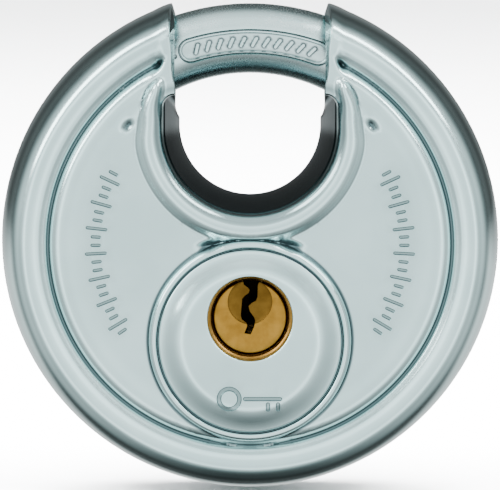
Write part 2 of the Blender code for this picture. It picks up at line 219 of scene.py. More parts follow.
def face_height(x, z):
    """Height of the pressed face over the middle plane."""
    x, z = np.asarray(x, float), np.asarray(z, float)
    radius = np.hypot(x, z)
    over = np.clip((radius - RIM_CREST_R) / (BODY_R - RIM_CREST_R), 0, 1)
    rim = np.where(radius > RIM_CREST_R, RIM_HEIGHT * np.sqrt(1 - over * over), GROOVE(radius))
    distance = throat_distance(x, z)
    lip = LIP(distance * (1 + 0.32 * smooth_step(z, 13, 21.5)))
    height = soft_max(rim - 5 * (1 - smooth_step(distance, 0.8, 3.4)), lip, 0.45)
    horn = np.minimum(np.where(radius > RIM_CREST_R, rim, 9.7), lip + 8 * smooth_step(distance, 1.0, 3.0))
    on_horn = (1 - smooth_step(np.abs(x), 11.6, 13.2)) * smooth_step(z, 17, 19)
    height = height + (horn - height) * on_horn
    height = soft_max(height, BOSS(np.hypot(x, z - BOSS_Z)))
    for place, size, heading, rise in DENTS:
        height = height + rise * dent(np.abs(x), z, place, size, heading)
    return height


def dent(x, z, place, size, heading):
    """A soft long dent or swelling, as a share of its depth."""
    a, b = x - place[0], z - place[1]
    turn = math.radians(heading)
    along = a * math.cos(turn) + b * math.sin(turn)
    across = b * math.cos(turn) - a * math.sin(turn)
    return np.exp(-((along / size[0]) ** 2) - (across / size[1]) ** 2)


def painted_shade_tone(x, z, reach=0.45):
    """Painted shade of a place, from 0 to 1: more where it lies below its surroundings, and in the sunk dents."""
    headings = np.radians(range(0, 360, 45))
    around = sum(face_height(x + reach * math.cos(a), z + reach * math.sin(a)) for a in headings)
    depth = around / len(headings) - face_height(x, z)
    tone = np.maximum(depth / CREASE_DEPTH - CREASE_START, 0)
    # Painted shade in each dent that sinks the face
    for place, size, heading, rise in DENTS:
        if rise < 0:
            tone = tone + DENT_SHADE_TONE * dent(np.abs(x), z, place, size, heading)
    return np.clip(tone, 0, CREASE_MOST)


def hollow_height(x, z):
    """Height of the inside of the face: the same form without its fine creases."""
    radius = np.hypot(x, z)
    over = np.clip((radius - RIM_CREST_R) / (BODY_R - WALL - RIM_CREST_R), 0, 1)
    height = np.where(radius > RIM_CREST_R, (RIM_HEIGHT - WALL) * np.sqrt(1 - over * over), 7.9)
    groove = np.exp(-((radius - GROOVE_R) / 0.9) ** 2)
    height = height - 0.8 * groove
    from_boss = np.hypot(x, z - BOSS_Z)
    boss = 10.8 - 1.6 * smooth_step(from_boss, 9.0, 12.4) - 3 * smooth_step(from_boss, 12.3, 12.8)
    return np.maximum(height, boss)


def resampled(points, count):
    """A path as count points, evenly spaced but for a short step at each end, for the rounded cut edges."""
    points = np.array(points)
    lengths = np.concatenate([[0], np.cumsum(np.hypot(*np.diff(points, axis=0).T))])
    at = np.linspace(0, lengths[-1], count - 2)
    at = np.concatenate([[0, EDGE_STEP], at[1:-1], [lengths[-1] - EDGE_STEP, lengths[-1]]])
    return np.column_stack([np.interp(at, lengths, points[:, 0]), np.interp(at, lengths, points[:, 1])])


def throat_path(half, top=None):
    """The throat's section at a half width: from the left horn's cut, round the bottom, to the right's."""
    corner = half - MOUTH_HALF
    if top is None:
        top = CORNER_Z + corner
    if corner > 0:
        drop = max(corner, 0.6)
        turns = np.linspace(0, math.pi / 2, 13)
        horn = [(-MOUTH_HALF - corner * math.sin(t), top - drop + drop * math.cos(t)) for t in turns]
    else:
        horn = [(-MOUTH_HALF, top), (-MOUTH_HALF, top - 0.5), (-half, top - 1.3)]
    turns = np.linspace(math.pi, math.tau, 97)
    bottom = [(half * math.cos(t), THROAT_Z + half * math.sin(t)) for t in turns]
    return resampled(horn + bottom + [(-x, z) for x, z in reversed(horn)], THROAT_COUNT)


def rim_path(radius):
    """The disc's edge at a radius: from the left horn's cut, round the bottom, to the right horn's cut."""
    edge = math.degrees(math.asin(MOUTH_HALF / radius))
    return resampled([on_ring(radius, a) for a in np.linspace(360 - edge, edge, 720)], RIM_COUNT)


def cut_path(low, high, side):
    """Points up a horn's cut, without its ends."""
    heights = np.linspace(low, high, CUT_COUNT + 2)[1:-1]
    return np.column_stack([np.full(CUT_COUNT, side * MOUTH_HALF), heights])


def grid_points(across, up):
    return np.stack(np.meshgrid(across, up), axis=-1).reshape(-1, 2)


def circle(radius, z, spacing, count=0):
    count = count or max(12, round(math.tau * radius / spacing))
    return np.array([on_ring(radius, 360 * i / count) for i in range(count)]) + (0, z)


def circles(radii, z, spacing):
    """Circles whose points stand in line, so that the faces between them follow the crease."""
    count = round(math.tau * max(radii) / spacing)
    return np.vstack([circle(radius, z, spacing, count) for radius in radii])


def far_from(points, others, distance):
    """Which points keep a distance to all the others."""
    tree = KDTree(len(others))
    for i, (x, z) in enumerate(others):
        tree.insert((x, z, 0), i)
    tree.balance()
    return np.array([tree.find((x, z, 0))[2] > distance for x, z in points])


def on_face(points, join_r, join_d, hole):
    """Which points lie on the face, between the throat, the rim's join and the keyhole."""
    x, z = points[:, 0], points[:, 1]
    kept = (np.hypot(x, z) < join_r) & (throat_distance(x, z) > join_d)
    kept &= (np.abs(x) > MOUTH_HALF) | (z < THROAT_Z)
    if hole:
        kept &= np.hypot(x, z - PLUG_Z) > KEYHOLE_R
    return kept


def capsule(first, last, half, spacing=0.16):
    """The outline of a stroke with round ends."""
    first, last = np.array(first, float), np.array(last, float)
    along = last - first
    length = np.hypot(*along)
    heading = math.atan2(along[1], along[0]) if length > 0 else 0.0
    steps = max(6, round(math.pi * half / spacing))
    points = []
    for start, centre, other in ((heading - math.pi / 2, last, first), (heading + math.pi / 2, first, last)):
        for i in range(steps + 1):
            turn = start + math.pi * i / steps
            points.append(centre + half * np.array((math.cos(turn), math.sin(turn))))
        straight = max(1, round(length / (3 * spacing)))
        step = (other - centre) / straight
        points += [points[-1] + step * i for i in range(1, straight)]
    return np.array(points)


def stroke(first, last, half, depth, base=0.0, slope=0.12, tones=(0.1, 0.6)):
    """A stroke pressed to a depth, as nested outlines with their depths and tones of painted shade, by default
    darker on its floor.
    """
    foot, floor = capsule(first, last, half), capsule(first, last, half - slope)
    return [(foot, base, tones[0]), (floor, depth, tones[1])]


def inside(points, polygon):
    """Which points lie in a polygon."""
    x, z = points[:, :1], points[:, 1:]
    ax, az = polygon.T
    bx, bz = np.roll(polygon, -1, axis=0).T
    with np.errstate(divide="ignore", invalid="ignore"):
        crossing = ax + (z - az) * (bx - ax) / (bz - az)
    hits = ((az > z) != (bz > z)) & (x < crossing)
    return hits.sum(axis=1) % 2 == 1


def depths_in(points, marks):
    """Depth and tone of each point in the marks, and which points to keep because they aren't on a slope."""
    depth, tone, kept = np.zeros(len(points)), np.zeros(len(points)), np.ones(len(points), bool)
    for mark in marks:
        outer = None
        for polygon, level, dark in mark:
            within = inside(points, polygon)
            if outer is not None:
                kept &= ~(outer[0] & ~within & (outer[1] != level))
            depth[within] = level
            tone[within] = dark
            outer = (within, level)
    return depth, tone, kept


def flat_mesh(outline, loops, marks, batches):
    """A flat triangle mesh inside an outline.

    Its points are the outline's, then the loops', the marks' and the rest.
    Gives the points, their depths and tones in the marks, and all triangles, also those in the loops.
    """
    rings = [(outline, 0, 0)] + [(loop, 0, 0) for loop in loops] + [ring for mark in marks for ring in mark]
    edges = []
    count = 0
    for polygon, _, _ in rings:
        edges += [(count + i, count + (i + 1) % len(polygon)) for i in range(len(polygon))]
        count += len(polygon)
    points = np.vstack([polygon for polygon, _, _ in rings])
    depths = np.concatenate([np.full(len(polygon), float(level)) for polygon, level, _ in rings])
    tones = np.concatenate([np.full(len(polygon), float(dark)) for polygon, _, dark in rings])
    for closest, batch in batches:
        level, dark, kept = depths_in(batch, marks)
        kept &= far_from(batch, points, closest)
        points = np.vstack([points, batch[kept]])
        depths, tones = np.concatenate([depths, level[kept]]), np.concatenate([tones, dark[kept]])
    made = delaunay_2d_cdt([Vector(p) for p in points], edges, [], 0, 1e-7)
    if len(made[0]) != len(points):
        raise RuntimeError("some of the mesh's points or edges meet")
    return points, depths, tones, np.array([face for face in made[2] if len(face) == 3])


def fine_points(join_r, hole):
    """Points along every crease of the outer face, in batches, each with its closest spacing."""
    edges = [np.column_stack([np.full(180, side * (MOUTH_HALF + d)), np.linspace(19, 32.9, 180)])
             for side in (-1, 1) for d in (0.04, 0.09, 0.15, 0.23, 0.33)]
    contours = np.vstack([throat_path(THROAT_HALF + d) for d in
                          (2.5, 2.8, 3.1, 3.35, 3.55, 3.7, 3.85, 4.0, 4.2, 4.6, 5.2)])
    boss = [circles((12.5, 12.62, 12.72, 12.8, 12.87, 12.94, 13.01, 13.08, 13.16, 13.26), BOSS_Z, 0.2),
            circles((13.38, 13.5, 13.6, 13.7, 13.8, 13.9, 14.0, 14.1, 14.2, 14.3, 14.42), BOSS_Z, 0.25),
            circles((8.6, 8.9, 9.2, 9.5, 9.8, 10.2, 10.7, 11.2, 11.7, 12.1, 12.35), BOSS_Z, 0.6),
            circles((14.6, 14.85, BOSS_REACH), BOSS_Z, 0.4)]
    boss += [circle(r, BOSS_Z, 1.2) for r in (1, 2.5, 4, 5.5, 7)]
    grid = grid_points(np.arange(-18.5, 18.6, 0.24), np.arange(-2, 31.5, 0.24))
    distance, radius = throat_distance(*grid.T), np.hypot(*grid.T)
    near_horn = (grid[:, 1] > 14.5) & (distance > 2.2) & (distance < 7.5) & (radius < 30)
    near_horn |= (grid[:, 1] > 20) & (np.abs(grid[:, 0]) < 14) & (radius < 31.5)
    over_boss = (np.abs(grid[:, 0]) < 8.5) & (grid[:, 1] < 2.2) & (distance > 3.2)
    patches = grid[near_horn | over_boss]
    rings = [circles((27.55, 27.68, 27.8, 27.9, 28.0, 28.1, 28.2, 28.3, 28.42, 28.55, 28.7, 28.85), 0, 0.24),
             circles((26.8, 27.1, 27.35, 29.0, 29.15, 29.3, 29.45, 29.6), 0, 0.45),
             circles((23.6, 23.9, 24.2, 24.5, 24.9, 25.4, 25.9, 26.4), 0, 0.7),
             circles((29.9, 30.3, 30.7, 31.1, 31.55, 32.0, 32.4, 32.7), 0, 0.6)]
    rings = np.vstack(rings)
    plain = np.vstack([circle(r, 0, 1.4) for r in np.arange(1, 23.4, 1.5)])
    batches = [(0.03, np.vstack(edges)), (0.12, contours), (0.065, np.vstack(boss)), (0.15, patches)]
    for batch in (rings, plain):
        beside_boss = np.hypot(batch[:, 0], batch[:, 1] - BOSS_Z) > BOSS_REACH
        batches.append((0.075, batch[beside_boss]))
    if hole:
        edge = np.vstack([circle(KEYHOLE_R + d, PLUG_Z, 0.22) for d in (0.04, 0.09, 0.15, 0.3)])
        batches.insert(0, (0.03, edge))
    return [(closest, batch[on_face(batch, join_r, LIP_JOIN, hole)]) for closest, batch in batches]


def coarse_points(join_r, join_d, hole):
    """Points of the hidden inner face."""
    rings = np.vstack([circle(r, 0, 1.6) for r in (*np.arange(1, 27, 1.8), 27.4, 28.4, 29.4, 30.4)])
    boss = np.vstack([circle(r, BOSS_Z, 1.2) for r in (7.5, 9, 10.5, 12.2, 12.6, 12.9)])
    return [(0.13, batch[on_face(batch, join_r, join_d, hole)]) for batch in (boss, rings)]


def mark_strokes():
    """Plain pressed marks of the front: rows of short bars on the plateau, and a small key on the boss."""
    marks = []
    for middle in SCALE_MIDDLES:
        for i in range(-10, 11):
            inner, outer = LONG_BAR if i % 3 == 0 else SHORT_BAR
            angle = middle + i * SCALE_STEP
            marks.append(stroke(on_ring(inner, angle), on_ring(outer, angle), 0.24, 0.22))
    bow = [circle(radius, KEY_Z, 0.2) + (-2.9, 0) for radius in (1.75, 1.63, 1.22, 1.1)]
    # The bow's ring is pressed down, with painted shade on its floor
    marks.append([(bow[0], 0, 0.1), (bow[1], 0.2, 0.6), (bow[2], 0.2, 0.6), (bow[3], 0, 0)])
    shank = ((-0.7, KEY_Z), (4.2, KEY_Z))
    teeth = [((x, KEY_Z - 0.75), (x, KEY_Z - 1.5)) for x in (2.5, 3.9)]
    for first, last in (shank, *teeth):
        marks.append(stroke(first, last, 0.3, 0.2))
    return marks


def face_mesh(join_r, join_half, batches, hole):
    """A flat triangle mesh of the face, whose outline comes first in its points.

    The outline runs along the rim's join, the right cut, back along the throat's join, and the left cut.
    """
    rim, throat = rim_path(join_r), throat_path(join_half)
    right = cut_path(throat[-1, 1], rim[-1, 1], 1)[::-1]
    left = cut_path(throat[0, 1], rim[0, 1], -1)
    outline = np.vstack([rim, right, throat[::-1], left])
    loops = []
    if hole:
        loops.append(circle(KEYHOLE_R, PLUG_Z, 0, HOLE_COUNT))
    marks = mark_strokes() if hole and join_half < INNER_HALF else []
    points, depths, tones, triangles = flat_mesh(outline, loops, marks, batches)
    middles = points[triangles].mean(axis=1)
    kept = on_face(middles, join_r + 1, join_half - THROAT_HALF - 0.0025, False)
    if hole:
        kept &= np.hypot(middles[:, 0], middles[:, 1] - PLUG_Z) > KEYHOLE_R - 0.0025
    return points, depths, tones, [tuple(t) for t in triangles[kept]]


def connect(rows, closed=False):
    """Quads between each row of point numbers and the next."""
    faces = []
    for near, far in zip(rows, rows[1:]):
        if closed:
            near, far = near + near[:1], far + far[:1]
        faces += [(near[i], near[i + 1], far[i + 1], far[i]) for i in range(len(near) - 1)]
    return faces


def edge_drop(distance, reach):
    """How far a rounded edge falls, by the distance to the edge."""
    u = np.clip(distance / reach, 0, 1)
    return reach * (1 - np.sqrt(1 - (1 - u) ** 2))


def horn_ease(z):
    """How far the outer skin stands back from the horn's cut, because its edge is ground round."""
    upper = smooth_step(z, 26.5, 30.5) * (1 - smooth_step(z, 32.2, 33.6))
    return 0.35 * smooth_step(z, 21.5, 25) + 0.4 * upper


def rim_rows(add, reach, height, angles, ease=0):
    rows = []
    for degrees in angles:
        angle = math.radians(degrees)
        normal = np.array((height * math.cos(angle), reach * math.sin(angle)))
        normal /= np.hypot(*normal)
        path = rim_path(RIM_CREST_R + reach * math.cos(angle))
        drop = np.zeros(RIM_COUNT)
        if ease:
            drop = edge_drop(np.abs(path[:, 0]) - MOUTH_HALF, ease) * (path[:, 1] > 0)
        path = path * (1 - drop * normal[0] / np.hypot(*path.T))[:, None]
        rows.append(add(path, height * math.sin(angle) - drop * normal[1]))
    return rows


def seam_angle(height):
    """Where a rim of the given height comes to the seam between the shells."""
    return math.degrees(math.asin(SEAM / height))


def throat_wall_rows(add, sections):
    return [add(throat_path(half, top), np.full(THROAT_COUNT, height)) for half, height, top in sections]


def wall_sections(extra_half, extra_top):
    """The throat's wall from its front edge down to the waist, as (half width, height, top)."""
    sections = []
    for height in (8.62, 8.4, 7.6, 6.4, 5.0, 3.6, 2.4, 1.4, 0.7, 0.15, SEAM):
        share = height / LIP_EDGE
        half = WAIST_HALF + (THROAT_HALF - WAIST_HALF - 0.12) * share ** 1.15
        half += SEAM_GROOVE * (height == SEAM)
        top = 18.6 + 3.8 * share ** 1.5
        sections.append((half + extra_half, height, top + extra_top))
    return sections


def shell_surface(hole):
    """Points, heights and faces of one pressed shell: outer skin, inner skin and the edges between them."""
    points, heights, faces = [], [], []

    def add(batch, tops):
        first = len(points)
        points.extend((float(x), float(z)) for x, z in batch)
        heights.extend(float(top) for top in tops)
        return list(range(first, len(points)))

    batches = fine_points(OUTER_JOIN_R, hole)
    outer, depths, mark_shade, triangles = face_mesh(OUTER_JOIN_R, OUTER_HALF, batches, hole)
    tops = face_height(*outer.T) - depths
    above = outer[:, 1] > THROAT_Z
    tops = tops - np.where(above, edge_drop(np.abs(outer[:, 0]) - MOUTH_HALF, 0.3), 0)
    if hole:
        tops = tops - edge_drop(np.hypot(outer[:, 0], outer[:, 1] - PLUG_Z) - KEYHOLE_R, 0.25)
    outer_numbers = add(outer, tops)
    # Painted shade on the outer skin: on the marks' floors, in creases and in sunk dents
    tones = list(np.maximum(mark_shade, painted_shade_tone(*outer.T)))
    faces += triangles

    reach = BODY_R - RIM_CREST_R
    outer_rim = rim_rows(add, reach, RIM_HEIGHT, (*range(57, 6, -5), 3, 0.9), ease=0.3)
    outer_rim += rim_rows(add, reach - SEAM_GROOVE, RIM_HEIGHT, (seam_angle(RIM_HEIGHT),), ease=0.3)
    lips = [throat_path(THROAT_HALF + d) for d in (1.9, 1.5, 1.1, 0.8, 0.55, 0.35, 0.2, 0.1, 0)]
    outer_wall = [add(path, face_height(*path.T)) for path in lips]
    outer_wall += throat_wall_rows(add, wall_sections(0, 0))
    skin_count = len(points)

    batches = coarse_points(INNER_JOIN_R, LIP_JOIN + WALL, hole)
    inner, _, _, triangles = face_mesh(INNER_JOIN_R, INNER_HALF, batches, hole)
    inner_numbers = add(inner, hollow_height(*inner.T))
    first = inner_numbers[0]
    faces += [tuple(first + i for i in triangle) for triangle in triangles]
    inner_angles = (seam_angle(RIM_HEIGHT - WALL), 12, 24, 36, 48)
    inner_rim = rim_rows(add, reach - WALL, RIM_HEIGHT - WALL, inner_angles)
    inner_lips = [(THROAT_HALF + WALL + d, height, CORNER_Z + THROAT_HALF + WALL + d - MOUTH_HALF)
                  for d, height in ((1.4, 8.7), (0.7, 8.9), (0.2, 8.6), (0, 8.0))]
    inner_wall = throat_wall_rows(add, inner_lips + wall_sections(WALL, 1.4)[2:])[::-1]

    def parts(numbers):
        rim = numbers[:RIM_COUNT]
        right = numbers[RIM_COUNT:RIM_COUNT + CUT_COUNT]
        throat = numbers[RIM_COUNT + CUT_COUNT:RIM_COUNT + CUT_COUNT + THROAT_COUNT][::-1]
        left = numbers[RIM_COUNT + CUT_COUNT + THROAT_COUNT:OUTLINE_COUNT]
        return rim, right, throat, left

    rim_out, right_out, throat_out, left_out = parts(outer_numbers)
    rim_in, right_in, throat_in, left_in = parts(inner_numbers)
    rims = [rim_out, *outer_rim, *inner_rim, rim_in]
    throats = [throat_out, *outer_wall, *inner_wall, throat_in]
    faces += connect(rims) + connect(throats)
    for end, inner_cut, outer_cut in ((-1, right_in, right_out[::-1]), (0, left_in[::-1], left_out)):
        rim_end = [row[end] for row in rims]
        throat_end = [row[end] for row in reversed(throats)]
        faces.append((*rim_end, *inner_cut, *throat_end, *outer_cut))
    if hole:
        ring_out = outer_numbers[OUTLINE_COUNT:OUTLINE_COUNT + HOLE_COUNT]
        ring_in = inner_numbers[OUTLINE_COUNT:OUTLINE_COUNT + HOLE_COUNT]
        faces += connect([ring_out, ring_in], closed=True)

    points, heights = np.array(points), np.array(heights)
    skin = points[:skin_count]
    near_cut = (skin[:, 1] > THROAT_Z) * (1 - smooth_step(np.abs(skin[:, 0]) - MOUTH_HALF, 0, 3.5))
    skin[:, 0] += np.sign(skin[:, 0]) * horn_ease(skin[:, 1]) * near_cut
    tones += [0.0] * (len(points) - len(tones))
    tones = np.array(tones)
    # Painted shade: a band round the rim's side, darkest at the seam
    rim_side_shade = (0.08, 0.15, 0.21, 0.25, 0.27, 0.27, 0.26, 0.24, 0.22, 0.25, 0.4, 0.75)
    for row, tone in zip(outer_rim[2:], rim_side_shade):
        tones[row] = tone
    # Painted shade along the lip beside the throat: a line on its slope, darkest at its edge
    for row, tone in zip(outer_wall, (0, 0.25, 0.55, 0.5, 0.3, 0.2, 0.35, 0.6, 0.8)):
        tones[row] = tone
    # Painted shade: the throat's wall dark all over
    for row in outer_wall[len(lips):]:
        tones[row] = WALL_SHADE
    return points, heights, tones, faces


def finish_mesh(name, vertices, faces, sharp_angle=38, tones=None):
    """A smooth-shaded object with its faces pointing out. Points that meet are welded."""
    mesh = bpy.data.meshes.new(name)
    mesh.from_pydata(vertices, [], faces)
    if tones is not None:
        # The crease value holds painted shade, from 0 to 1, which the materials darken by
        layer = mesh.attributes.new("crease", "FLOAT", "POINT")
        layer.data.foreach_set("value", np.array(tones, np.float32))
    work = bmesh.new()
    work.from_mesh(mesh)
    bmesh.ops.remove_doubles(work, verts=work.verts, dist=0.002 * MM)
    bmesh.ops.recalc_face_normals(work, faces=work.faces)
    work.to_mesh(mesh)
    work.free()
    mesh.shade_smooth()
    mesh.set_sharp_from_angle(angle=math.radians(sharp_angle))
    piece = bpy.data.objects.new(name, mesh)
    bpy.context.collection.objects.link(piece)
    return piece


def make_shells():
    finish = shell_steel()
    for name, side, hole in (("front_shell", -1, True), ("rear_shell", 1, False)):
        points, heights, tones, faces = shell_surface(hole)
        vertices = [row_point(x, z, height, side) for (x, z), height in zip(points, heights)]
        shell = finish_mesh(f"{name}_pressing", vertices, faces, tones=tones)
        shell.data.materials.append(finish)
        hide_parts(name)
        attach(shell, "case")


def shackle_place(s, t, depth):
    """A point of the bar from its arc length along the ring's middle line and round the section."""
    degrees = s / RING_R * 180 / math.pi
    from_end = np.minimum(degrees - TIP_ANGLE, TAIL_ANGLE - degrees)
    taper = np.clip(1 - from_end / 2.6, 0, 1)
    radius = BAR_R - 1.3 * taper ** 1.5 - depth
    turn = t / BAR_R
    reach = RING_R + radius * np.cos(turn)
    y = -radius * np.sin(turn)
    flat = smooth_step(degrees, FLAT_ANGLES[0] - 0.6, FLAT_ANGLES[0])
    y = np.where(flat > 0, np.minimum(y, FLAT_HEIGHT + (1 - flat) * (BAR_R - FLAT_HEIGHT)), y)
    angle = np.radians(degrees)
    return np.column_stack([reach * np.sin(angle), y, reach * np.cos(angle)]) * MM + CENTRE


def shackle_marks():
    """The forged panel: a sunk band with a fine line round it, a row of plain raised bars, and a notch, with
    painted shade in the sunk band, darkest by its edges, round the bars' feet and in the notch.
    """
    left, right = (math.radians(a) * RING_R for a in PANEL_ANGLES)
    t = SHACKLE_FRONT * BAR_R - PANEL_OFFSET
    # Steps in from the panel's edge: (inset, depth, tone of painted shade)
    steps = ((0, 0, 0.1), (0.12, PANEL_DEPTH, 0.7), (0.2, PANEL_DEPTH, 0.7), (0.3, 0.12, 0), (0.42, 0.12, 0),
             (0.54, PANEL_DEPTH, 0.6), (0.7, PANEL_DEPTH, 0.15))
    panel = [(capsule((left, t), (right, t), PANEL_HALF - inset), depth, tone)
             for inset, depth, tone in steps]
    marks = [panel]
    for i in range(PANEL_BARS):
        s = left + (right - left) * (i + 0.5) / PANEL_BARS
        low, high = (s - 0.28, t + 0.52), (s + 0.28, t - 0.52)
        # A ring of painted shade round each bar's foot
        foot = [(capsule(low, high, 0.41), PANEL_DEPTH, 0.8)]
        marks.append(foot + stroke(low, high, 0.33, 0.02, PANEL_DEPTH, 0.15, tones=(0.95, 0)))
    notch = math.radians(NOTCH_ANGLE) * RING_R
    marks.append(stroke((notch - 0.15, t), (notch + 0.15, t), 0.36, 0.6))
    return marks


def make_shackle():
    first, last = (math.radians(a) * RING_R for a in (TIP_ANGLE, TAIL_ANGLE))
    round_count, along_count = 96, 260
    low, high = -math.pi / 2 * BAR_R, 1.5 * math.pi * BAR_R
    ends = np.linspace(low, high, round_count + 1)
    sides = np.linspace(first, last, along_count + 1)
    outline = [(first, t) for t in ends[:-1]] + [(s, high) for s in sides[:-1]]
    outline += [(last, t) for t in ends[:0:-1]] + [(s, low) for s in sides[:0:-1]]
    grid = grid_points(sides[1:-1], ends[1:-1])
    insets = (0.15, 0.35, 0.6, 0.9, 1.2)
    end_rows = [first + inset for inset in insets] + [last - inset for inset in insets]
    near_ends = [(s, t) for s in end_rows for t in ends[1:-1]]
    flat_start = math.radians(FLAT_ANGLES[0]) * RING_R
    near_flat = [(flat_start + d, t) for d in (-0.3, -0.2, -0.1, 0) for t in ends[1:-1]]
    fine_s = np.arange(math.radians(-21) * RING_R, math.radians(24) * RING_R, 0.22)
    fine_t = SHACKLE_FRONT * BAR_R + np.arange(-2.3, 2.9, 0.22)
    fine = grid_points(fine_s, fine_t)
    batches = [(0.13, np.array(batch)) for batch in (near_ends, near_flat, fine, grid)]
    points, depths, tones, triangles = flat_mesh(np.array(outline), [], shackle_marks(), batches)
    vertices = shackle_place(points[:, 0], points[:, 1], depths)
    far_end = round_count + along_count
    faces = [tuple(t) for t in triangles]
    faces += [tuple(range(round_count)), tuple(range(far_end, far_end + round_count))]
    shackle = finish_mesh("shackle_bar", vertices.tolist(), faces, tones=tones)
    shackle.data.materials.append(shackle_steel())
    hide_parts("shackle")
    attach(shackle, "shackle")


def turned(name, section, segments, place=(0, 0, 0), along="Y", capped=True):
    """A solid of revolution from (radius, position) points, parallel to Y or Z.

    It is a closed ring if it isn't capped. Places are from the disc's axis.
    """
    rings = []
    for radius, position in section:
        ring = []
        for i in range(segments):
            a, b = on_ring(radius, 360 * i / segments)
            ring.append((a, position, b) if along == "Y" else (a, b, position))
        rings.append(ring)
    vertices = [tuple((c + p) * MM for c, p in zip(v, place)) for ring in rings for v in ring]
    vertices = [(x, y, z + CENTRE.z) for x, y, z in vertices]
    rows = [list(range(i * segments, (i + 1) * segments)) for i in range(len(rings))]
    ends = [tuple(rows[0]), tuple(rows[-1])] if capped else connect([rows[-1], rows[0]], closed=True)
    return finish_mesh(name, vertices, connect(rows, closed=True) + ends)


def block(name, low, high, place=(0, 0, 0)):
    outline = [(low[0], low[2]), (high[0], low[2]), (high[0], high[2]), (low[0], high[2])]
    return prism(name, outline, low[1], high[1], place)


def prism(name, outline, front, rear, place=(0, 0, 0)):
    """An outline in x and z, pushed from y = front to y = rear."""
    vertices = [((x + place[0]) * MM, (y + place[1]) * MM, (z + place[2]) * MM + CENTRE.z)
                for y in (front, rear) for x, z in outline]
    count = len(outline)
    faces = connect([list(range(count)), list(range(count, 2 * count))], closed=True)
    return finish_mesh(name, vertices, faces + [tuple(range(count)), tuple(range(count, 2 * count))])


def carve(base, operation, *others):
    """A Boolean with each of the others in turn, applied, after which the others are gone."""
    for other in others:
        modifier = base.modifiers.new("shape", "BOOLEAN")
        modifier.operation = operation
        modifier.object = other
        mesh = bpy.data.meshes.new_from_object(base.evaluated_get(bpy.context.evaluated_depsgraph_get()))
        base.modifiers.clear()
        base.data = mesh
        bpy.data.objects.remove(other)
    return base


def ease_edges(piece, width, angle=40):
    """Rounds the piece's sharp edges a little, so that they catch the light."""
    bevel = piece.modifiers.new("eased_edges", "BEVEL")
    bevel.width = width * MM
    bevel.segments = 2
    bevel.limit_method = "ANGLE"
    bevel.angle_limit = math.radians(angle)
    bevel.harden_normals = True
    piece.data.shade_smooth()
    piece.data.set_sharp_from_angle(angle=math.radians(30))


def keyway_outline():
    """The key's slot, open at the top of the plug, with a ward from the left and one from the right."""
    left = [(-1.15, 5.6), (-0.85, 4.5), (-0.3, 4.1), (-0.05, 3.75), (-0.2, 3.35), (-0.75, 2.95), (-1.1, 2.5),
            (-1.3, 0.2), (-1.15, -0.35), (-0.5, -0.85), (-0.4, -1.25), (-0.8, -2.25)]
    right = [(0.1, -2.4), (0.55, -1.4), (0.75, -0.6), (0.6, -0.1), (0.0, 0.75), (-0.2, 1.5), (0.25, 1.95),
             (0.85, 2.25), (1.05, 2.8), (1.1, 4.4), (1.5, 5.6)]
    return left + right


def double_d(radius, flat):
    """The outline of a round shaft with two flats."""
    turn = math.degrees(math.acos(flat / radius))
    arc = [on_ring(radius, a) for a in np.linspace(turn - 90, 90 - turn, 17)]
    return arc + [(-x, -z) for x, z in arc]


def make_plug():
    place = (0, 0, PLUG_Z)
    barrel = [(4.82, PLUG_FACE), (4.95, -9.96), (PLUG_R, -9.8), (PLUG_R, 4.0), (4.95, 4.1)]
    plug = turned("plug_turned", barrel, 144, place)
    tail = prism("plug_tail", double_d(2.9, 2.2), 3.5, 8.6, place)
    spotface = turned("spotface", [(3.12, -10.6), (3.12, -9.52), (2.9, -9.4)], 96, (0, 0, PLUG_Z + 2.15))
    keyway = prism("keyway", keyway_outline(), -11, 3.1, place)
    carve(plug, "UNION", tail)
    carve(plug, "DIFFERENCE", spotface, keyway)
    ease_edges(plug, 0.07)
    # The plug's brass, with painted shade in its recesses
    finish = brass("plug_brass", (0.25, 0.125, 0.018, 1), (0.36, 0.19, 0.032, 1), shade_from=PLUG_FACE + 0.2)
    plug.data.materials.append(finish)
    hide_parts("plug")
    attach(plug, "plug")


def make_cylinder_body():
    """The brass body round the plug, with a stepped mouth behind the keyhole and the pin chambers below."""
    place = (0, 0, PLUG_Z)
    section = [(BORE_R, -9.75), (5.42, -9.95), (5.5, -10.35), (5.72, -10.5), (5.86, -10.5), (6.35, -10.5),
               (6.5, -10.35), (6.5, 4.1), (BORE_R, 4.1)]
    body = turned("cylinder_body_turned", section, 128, place, capped=False)
    bible = block("bible", (-3.2, -7.9, -10.8), (3.2, 4.1, -3.0), place)
    bore = turned("bore", [(BORE_R, -9.6), (BORE_R, 6)], 128, place)
    slot = block("cover_slot", (-1.7, -7.5, -12), (1.7, 6, -9.9), place)
    carve(body, "UNION", bible)
    chambers = [turned(f"chamber_{i}", [(1.0, -4.5), (1.0, -10.5)], 32, (0, depth, PLUG_Z), along="Z")
                for i, depth in enumerate(PIN_DEPTHS)]
    carve(body, "DIFFERENCE", bore, slot, *chambers)
    ease_edges(body, 0.06)
    body.data.materials.append(brass("cylinder_brass", (0.25, 0.125, 0.025, 1), (0.36, 0.2, 0.05, 1)))
    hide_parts("cylinder_body")
    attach(body, "case")


